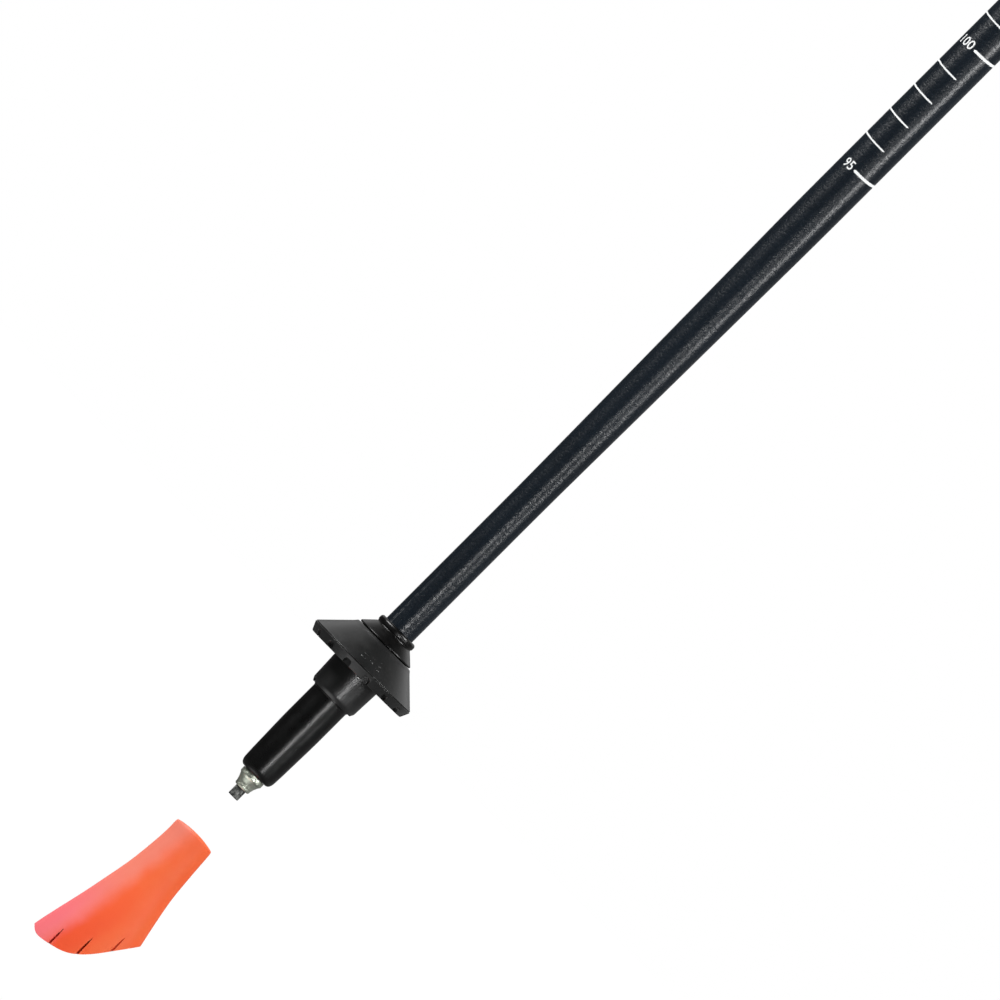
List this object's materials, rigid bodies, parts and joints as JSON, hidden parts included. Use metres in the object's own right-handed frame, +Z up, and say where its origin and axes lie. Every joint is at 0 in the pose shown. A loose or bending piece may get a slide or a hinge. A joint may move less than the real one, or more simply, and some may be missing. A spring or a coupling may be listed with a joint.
{
  "type": "adjustable ski pole",
  "caption": "Telescopic pole with carbide tip, small bell basket, lever lock, grip with wrist strap and a pull-off rubber boot.",
  "frame": {"origin": "end of the carbide tip, on the shaft's axis", "axes": "+Z up the shaft towards the grip, +X to the front of the pole, the way its user walks; the strap leaves the grip towards -X and the printed scale faces -Y"},
  "size_m": [0.0986, 0.0399, 1.1185],
  "materials": {
    "hard_metal": "satin, ground",
    "zinc_steel": "zinc plated",
    "ferrule_plastic": "glossy",
    "basket_plastic": "satin",
    "lower_tube": "fine satin anodised",
    "upper_tube": "satin",
    "inner_plastic": "moulded",
    "lock_plastic": "fine grain",
    "lever_alloy": "satin black",
    "grip_plastic": "fine grain",
    "grip_rubber": "soft, textured",
    "webbing": "woven",
    "boot_rubber": "satin orange"
  },
  "bodies": {
    "upper": {"upper_shaft": "upper_tube", "collet_sleeve": "inner_plastic", "clamp_body": "lock_plastic", "cam_plate": "zinc_steel", "barrel_pin": "zinc_steel", "grip_collar": "grip_plastic", "grip_sleeve": "grip_rubber", "grip_head": "grip_plastic", "grip_cap": "boot_rubber", "strap_pin": "zinc_steel", "strap_anchor": "webbing"},
    "guide": {"guide_bush": "inner_plastic"},
    "lower": {"lower_shaft": "lower_tube", "end_plug": "inner_plastic", "tip_ferrule": "ferrule_plastic", "tip_cup": "zinc_steel", "carbide_tip": "hard_metal"},
    "basket": {"trail_basket": "basket_plastic"},
    "boot": {"rubber_boot": "boot_rubber", "boot_washer": "zinc_steel"},
    "lever": {"lock_lever": "lever_alloy"},
    "screw": {"tension_screw": "zinc_steel", "thumb_wheel": "lock_plastic"},
    "wedge": {"strap_wedge": "grip_plastic"},
    "strap": {"hand_strap": "webbing"}
  },
  "joints": [
    {"name": "length_slide", "type": "slide", "parent": "upper", "child": "guide", "axis": [0, 0, -1], "range_m": [-0.285, 0.25]},
    {"name": "shaft_turn", "type": "hinge", "parent": "guide", "child": "lower", "pos_m": [0, 0, 0.709], "axis": [0, 0, 1], "continuous": true},
    {"name": "basket_turn", "type": "hinge", "parent": "lower", "child": "basket", "pos_m": [0, 0, 0.046], "axis": [0, 0, 1], "continuous": true},
    {"name": "boot_slide", "type": "slide", "parent": "lower", "child": "boot", "axis": [0, 0, 1], "range_m": [0, 0.0512]},
    {"name": "lever_swing", "type": "hinge", "parent": "upper", "child": "lever", "pos_m": [0.01, 0.0155, 0.379], "axis": [0, 0, 1], "range_deg": [0, 130]},
    {"name": "tension_turn", "type": "hinge", "parent": "upper", "child": "screw", "pos_m": [0, 0.0155, 0.379], "axis": [1, 0, 0], "continuous": true},
    {"name": "wedge_slide", "type": "slide", "parent": "upper", "child": "wedge", "axis": [-1, 0, 0], "range_m": [0, 0.004]},
    {"name": "strap_swing", "type": "hinge", "parent": "upper", "child": "strap", "pos_m": [-0.0216, 0, 1.0404], "axis": [0, 1, 0], "range_deg": [0, 120]}
  ]
}
